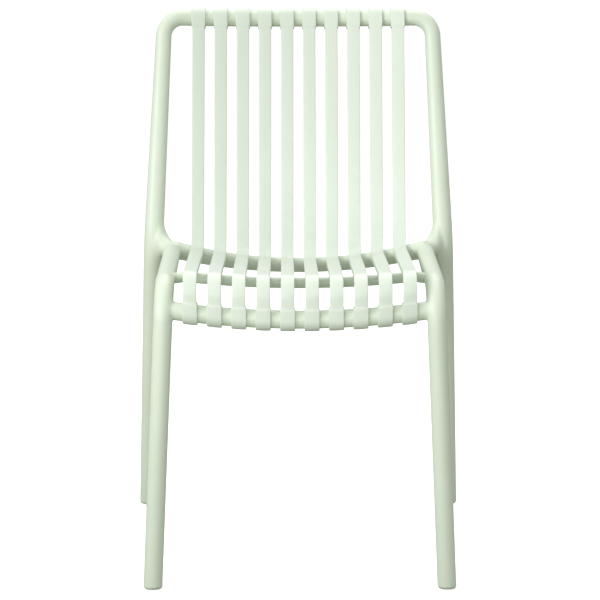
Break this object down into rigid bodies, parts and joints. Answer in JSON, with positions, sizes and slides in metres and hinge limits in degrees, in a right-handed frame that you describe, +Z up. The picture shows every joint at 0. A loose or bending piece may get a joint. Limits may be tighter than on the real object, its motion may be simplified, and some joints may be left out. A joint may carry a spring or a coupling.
{
  "type": "stacking chair",
  "caption": "Armless stacking side chair: tubular moulded frame with a concave back and seat of parallel straps running from the top rail to the front rail.",
  "frame": {"origin": "on the floor, at the middle of the chair's footprint", "axes": "+Z up, -Y the way the sitter faces, +X to the right seen from the front"},
  "size_m": [0.5162, 0.5776, 0.805],
  "materials": {
    "frame_plastic": "fine satin moulded polypropylene, pale sage green",
    "strap_plastic": "fine satin moulded polypropylene, pale sage green",
    "glide_plastic": "satin moulded plastic, pale sage green"
  },
  "bodies": {
    "root": {"side_frame_left": "frame_plastic", "side_frame_right": "frame_plastic", "top_rail": "frame_plastic", "rear_seat_rail": "frame_plastic", "seat_support_rail": "frame_plastic", "front_rail": "frame_plastic", "strap_01": "strap_plastic", "strap_02": "strap_plastic", "strap_03": "strap_plastic", "strap_04": "strap_plastic", "strap_05": "strap_plastic", "strap_06": "strap_plastic", "strap_07": "strap_plastic", "strap_08": "strap_plastic", "strap_09": "strap_plastic", "strap_10": "strap_plastic", "glide_front_left": "glide_plastic", "glide_front_right": "glide_plastic", "glide_rear_left": "glide_plastic", "glide_rear_right": "glide_plastic"}
  },
  "joints": []
}
